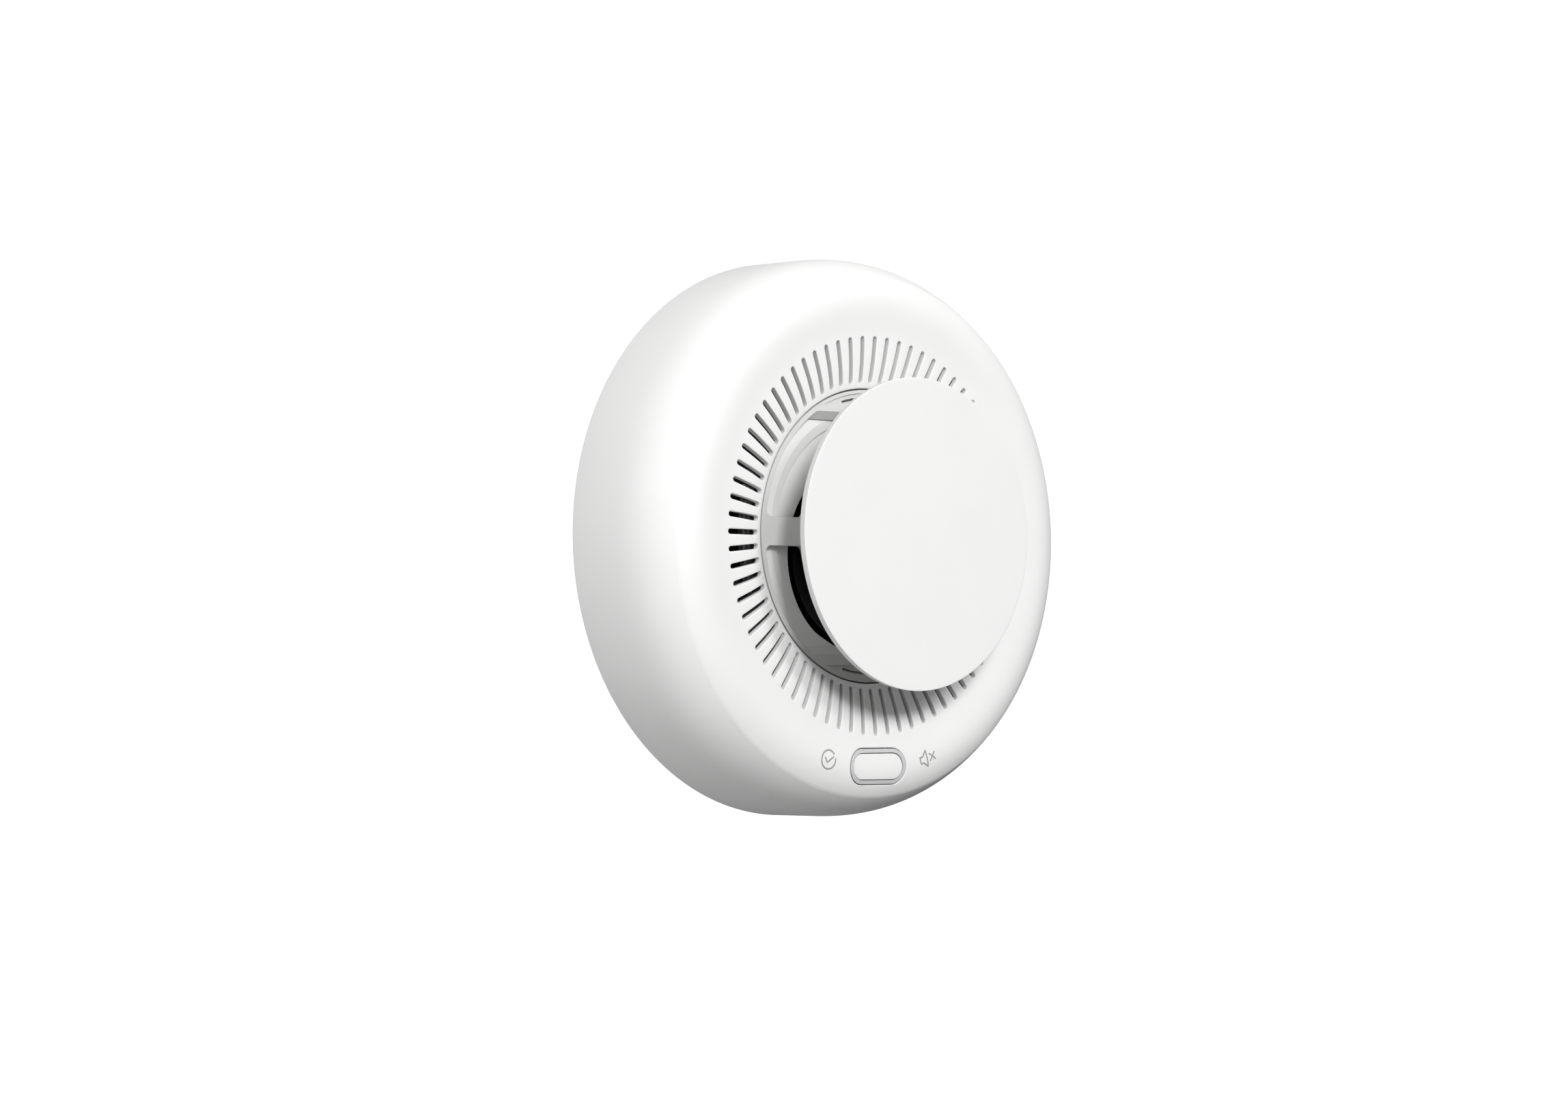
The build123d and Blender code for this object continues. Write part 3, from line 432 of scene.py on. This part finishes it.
# The inside is painted in shade, near-black: below the front, deep in the slots and the button's opening,
# and within the side wall
dark = {"slotRise": 0.5, "buttonDrop": 0.3, "wallDrop": 1.7, "wallIn": 1.85}
turnR, level = faceMiddles(housing)
paintedShadeLevel = np.where(turnR < band["outer"], underHeight(turnR) + dark["slotRise"],
                  frontHeight(turnR) - dark["buttonDrop"])
within = turnR < sideRadius(front["creaseD"] - level) - dark["wallIn"]
within &= level < front["creaseD"] - dark["wallDrop"]
repaint(housing, finish["inside"], np.where(turnR < buttonHole["outer"], level < paintedShadeLevel, within))
print("housing built:", len(housing.data.polygons), "faces")

# Cap in front of the inlet
lid = {"r": 29.0, "d": 40.3, "thick": 1.42, "lean": 0.14, "edge": 0.07, "pegR": 1.4, "pegL": 3.0,
       "pegCircle": 8.0, "pegs": 3, "pegSink": 0.3}


def capParts():  # disc with a slightly undercut rim, turned edges front and back, and its pegs
    faceD, backD = lid["d"], lid["d"] - lid["thick"]
    backR = lid["r"] - lid["lean"]
    rows = [(0, backD), (backR - lid["edge"], backD)]
    rows += [(backR - lid["edge"] * out, backD + lid["edge"] * drop) for out, drop in rounding(4)[::-1]]
    rows += [(lid["r"] - lid["edge"] * out, faceD - lid["edge"] * drop) for out, drop in rounding(4)]
    rows += [(r, faceD) for r in np.linspace(lid["r"] - 0.5, 0, 12)]
    parts = [lathe(rows, angles)]
    low, high = backD - lid["pegL"], backD + lid["pegSink"]
    for k in range(lid["pegs"]):
        a = math.pi / 2 + k * 2 * math.pi / lid["pegs"]
        x, z = lid["pegCircle"] * math.cos(a), lid["pegCircle"] * math.sin(a)
        peg = [(0, low), (lid["pegR"], low), (lid["pegR"], high), (0, high)]
        parts.append(lathe(peg, angles[::12], True, x, z))
    return parts


cap = build("cap", capParts(), "detector", finish["cap"], ["inlet_cap"], 30)
# Painted shade: the rim's faces take the grey copy of the cap's plastic
turnR, level = faceMiddles(cap)
rimInShade = (turnR > lid["r"] - lid["lean"] - lid["edge"]) & (level < lid["d"] - lid["edge"])
repaint(cap, finish["capRim"], rimInShade)
print("cap built")

# Printed marks on both sides of the button
ink = {"thick": 0.3, "lift": 0.012, "sink": 0.05, "r": 43.5, "spread": 17.2, "step": 0.3}
marks = {
    # a tick in an open ring for the test, and a speaker crossed out for the mute
    "testMark": (-1, [[(1.75 * math.cos(t), 1.75 * math.sin(t)) for t in np.linspace(0.9, 6.6, 40)],
                      [(-0.85, 0.1), (-0.2, -0.65), (1.0, 0.75)]]),
    "muteMark": (1, [[(-1.9, 0.6), (-1.15, 0.6), (-0.1, 1.6), (-0.1, -1.6), (-1.15, -0.6),
                      (-1.9, -0.6), (-1.9, 0.6)],
                     [(0.7, 0.65), (2.0, -0.65)], [(0.7, -0.65), (2.0, 0.65)]]),
}


def ribbon(points):  # a flat closed strip of even width along a line of points, as grid rows
    fine = []
    for start, stop in zip(points[:-1], points[1:]):
        n = max(1, int(math.dist(start, stop) / ink["step"]))
        fine += [(start[0] + (stop[0] - start[0]) * k / n, start[1] + (stop[1] - start[1]) * k / n)
                 for k in range(n)]
    line = np.array(fine + [points[-1]])
    along = np.gradient(line, axis=0)
    along /= np.linalg.norm(along, axis=1, keepdims=True)
    side = np.stack([-along[:, 1], along[:, 0]], -1) * ink["thick"] / 2
    line[0] -= along[0] * ink["thick"] / 2
    line[-1] += along[-1] * ink["thick"] / 2
    return line, side


def markMesh(side, lines):  # the strokes of one mark, turned to its place and laid on the front
    parts = []
    turn = -math.pi / 2 + side * math.radians(ink["spread"])
    upright = turn + math.pi / 2
    for points in lines:
        line, half = ribbon(points)
        rings = []
        for across, lift in ((1, -ink["sink"]), (1, ink["lift"]), (-1, ink["lift"]),
                             (-1, -ink["sink"])):
            flat = line + across * half
            x = flat[:, 0] * math.cos(upright) - flat[:, 1] * math.sin(upright)
            z = flat[:, 0] * math.sin(upright) + flat[:, 1] * math.cos(upright)
            x, z = x + ink["r"] * math.cos(turn), z + ink["r"] * math.sin(turn)
            rings.append(np.column_stack([x, z, frontHeight(np.hypot(x, z)) + lift]))
        strip = np.asarray(rings).transpose(1, 0, 2)
        points3, quads = loops(strip)
        last = len(points3) - 4
        ends = np.array([[3, 2, 1, 0], [last, last + 1, last + 2, last + 3]])
        parts.append((points3, np.concatenate([quads, ends])))
    return parts


for name, (side, lines) in marks.items():
    build(name, markMesh(side, lines), "detector", finish["print"], weld=0)
print("marks printed")

# Floor, lights, sky and camera
# A light is its power, size, turn from the front, rise and distance; the sky has a strength at two heights
studio = {
    "floorDrop": 1.0, "floorSize": 40, "floorTone": 0.05, "paper": 1.2,
    "key": (15, 0.28, -27, 21, 1.6), "front": (7, 0.3, -2, 25, 1.6),
    "side": (3.8, 1.0, -92, 12, 1.6), "low": (2.1, 0.6, -105, -50, 0.8),
    "skyAbove": 0.55, "skyBelow": 0.0, "skyFrom": -0.4, "skyTo": 0.4,
}


def pose(right, up, back, position):  # matrix of something with these three axes at a position
    m = np.eye(4)
    m[:3, 0], m[:3, 1], m[:3, 2], m[:3, 3] = right, up, back, position
    return Matrix(m.tolist())


def facing(back, position):  # matrix of something at a position that looks against the back direction
    right = np.cross([0, 0, 1], back)
    right = right / np.linalg.norm(right) if np.linalg.norm(right) > 1e-6 else np.array([1.0, 0, 0])
    return pose(right, np.cross(back, right), back, position)


def addLight(name, power, size, turn, rise, far):  # area light aimed at the object from a direction
    light = bpy.data.lights.new(name, "AREA")
    light.energy = power
    light.size = size
    lamp = bpy.data.objects.new(name, light)
    a, e = math.radians(turn), math.radians(rise)
    back = np.array([math.sin(a) * math.cos(e), -math.cos(a) * math.cos(e), math.sin(e)])
    lamp.matrix_world = facing(back, back * far)
    bpy.context.scene.collection.objects.link(lamp)


floorMesh = bpy.data.meshes.new("floor")
s, h = studio["floorSize"], -studio["floorDrop"]
floorMesh.from_pydata([(-s, -s, h), (s, -s, h), (s, s, h), (-s, s, h)], [], [(0, 1, 2, 3)])
paper = bpy.data.materials.new("floorPaper")
paper.use_nodes = True
tree = paper.node_tree
glow = tree.nodes.new("ShaderNodeEmission")
glow.inputs["Strength"].default_value = studio["paper"]
mix = tree.nodes.new("ShaderNodeMixShader")
tree.links.new(tree.nodes.new("ShaderNodeLightPath").outputs["Is Camera Ray"], mix.inputs[0])
tree.nodes["Principled BSDF"].inputs["Base Color"].default_value = (studio["floorTone"],) * 3 + (1,)
tree.links.new(tree.nodes["Principled BSDF"].outputs[0], mix.inputs[1])
tree.links.new(glow.outputs[0], mix.inputs[2])
tree.links.new(mix.outputs[0], tree.nodes["Material Output"].inputs["Surface"])
floorMesh.materials.append(paper)
floor = bpy.data.objects.new("floor", floorMesh)
bpy.context.scene.collection.objects.link(floor)
for name in ("key", "front", "side", "low"):
    addLight(name + "Light", *studio[name])

world = bpy.data.worlds.new("studioSky")
bpy.context.scene.world = world
world.use_nodes = True
tree = world.node_tree
sky = tree.nodes["Background"]
where = tree.nodes.new("ShaderNodeTexCoord")
split = tree.nodes.new("ShaderNodeSeparateXYZ")
tree.links.new(where.outputs["Generated"], split.inputs[0])
height = tree.nodes.new("ShaderNodeMapRange")
for socket, key in (("From Min", "skyFrom"), ("From Max", "skyTo"), ("To Min", "skyBelow"),
                    ("To Max", "skyAbove")):
    height.inputs[socket].default_value = studio[key]
tree.links.new(split.outputs["Z"], height.inputs["Value"])
seen = tree.nodes.new("ShaderNodeMix")
tree.links.new(tree.nodes.new("ShaderNodeLightPath").outputs["Is Camera Ray"], seen.inputs[0])
tree.links.new(height.outputs["Result"], seen.inputs[2])
seen.inputs[3].default_value = studio["paper"]
tree.links.new(seen.outputs[0], sky.inputs["Strength"])
sky.inputs["Color"].default_value = (1, 1, 1, 1)
bpy.context.scene.view_settings.view_transform = "Standard"

lens = {"turn": -43.22, "rise": -1.82, "roll": 0.085, "focal": 105.43, "sensor": 36.0,
        "back": 0.8576, "right": 0.01627, "up": 0.00336, "near": 0.01}
a, e, roll = (math.radians(lens[k]) for k in ("turn", "rise", "roll"))
back = np.array([math.sin(a) * math.cos(e), -math.cos(a) * math.cos(e), math.sin(e)])
right = np.cross([0, 0, 1], back)
right /= np.linalg.norm(right)
up = np.cross(back, right)
right, up = math.cos(roll) * right - math.sin(roll) * up, math.sin(roll) * right + math.cos(roll) * up
position = (np.array([0, -front["creaseD"] * mm, 0]) + lens["back"] * back
            - lens["right"] * right - lens["up"] * up)
cameraData = bpy.data.cameras.new("camera")
cameraData.lens = lens["focal"]
cameraData.sensor_width = lens["sensor"]
cameraData.clip_start = lens["near"]
camera = bpy.data.objects.new("camera", cameraData)
camera.matrix_world = pose(right, up, back, position)
bpy.context.scene.collection.objects.link(camera)
bpy.context.scene.camera = camera
print("stage and camera set")
